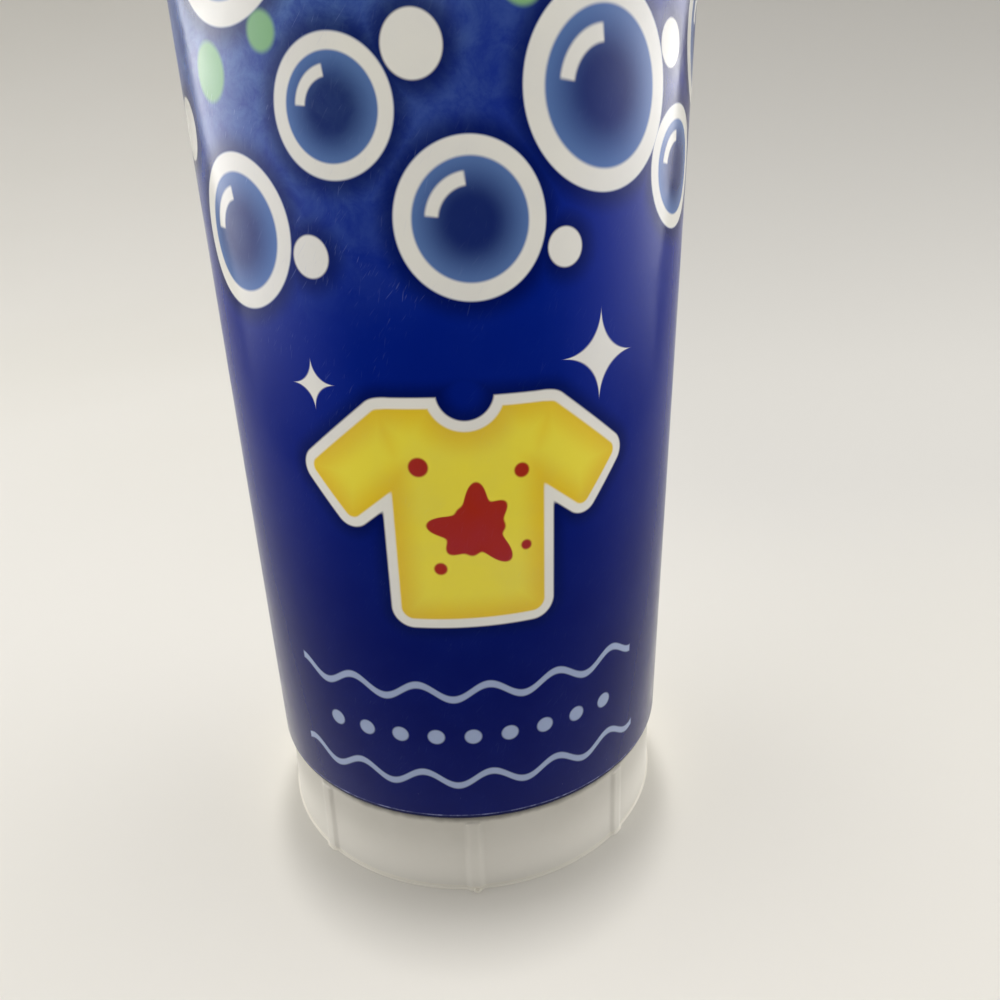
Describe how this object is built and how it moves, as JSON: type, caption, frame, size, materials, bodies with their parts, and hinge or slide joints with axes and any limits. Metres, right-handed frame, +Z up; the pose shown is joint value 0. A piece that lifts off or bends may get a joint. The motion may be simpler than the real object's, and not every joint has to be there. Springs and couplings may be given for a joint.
{
  "type": "stain remover stick",
  "caption": "Round twist-up stain remover stick: a ribbed dial turns a lead screw that winds the solid stick up a label-wrapped barrel, under a pull-off cap.",
  "frame": {"origin": "centre of the dial's standing rim, on the surface that the stick stands on", "axes": "+Z up along the barrel, -Y towards the front of the label, +X to its right"},
  "size_m": [0.044, 0.044, 0.131],
  "materials": {
    "white_plastic": "satin moulded white, slightly warm",
    "label_film": "satin-gloss printed film, deep blue ground",
    "natural_plastic": "unpigmented moulded plastic, milky",
    "stain_remover": "waxy cast solid, off-white"
  },
  "bodies": {
    "barrel": {"barrel": "white_plastic", "label": "label_film"},
    "dial": {"dial": "white_plastic", "spindle": "natural_plastic"},
    "carrier": {"elevator": "natural_plastic", "stick": "stain_remover"},
    "cap": {"cap": "white_plastic"}
  },
  "joints": [
    {"name": "stick_rise", "type": "slide", "parent": "barrel", "child": "carrier", "axis": [0, 0, 1], "range_m": [0, 0.092]},
    {"name": "dial_turn", "type": "hinge", "parent": "barrel", "child": "dial", "pos_m": [0, 0, 0], "axis": [0, 0, 1], "range_deg": [0, 4140]},
    {"name": "cap_pull", "type": "slide", "parent": "carrier", "child": "cap", "axis": [0, 0, 1], "range_m": [0, 0.06]}
  ],
  "couplings": [
    {"joint": "dial_turn", "follows": "stick_rise", "rad_per_m": 785.39}
  ]
}
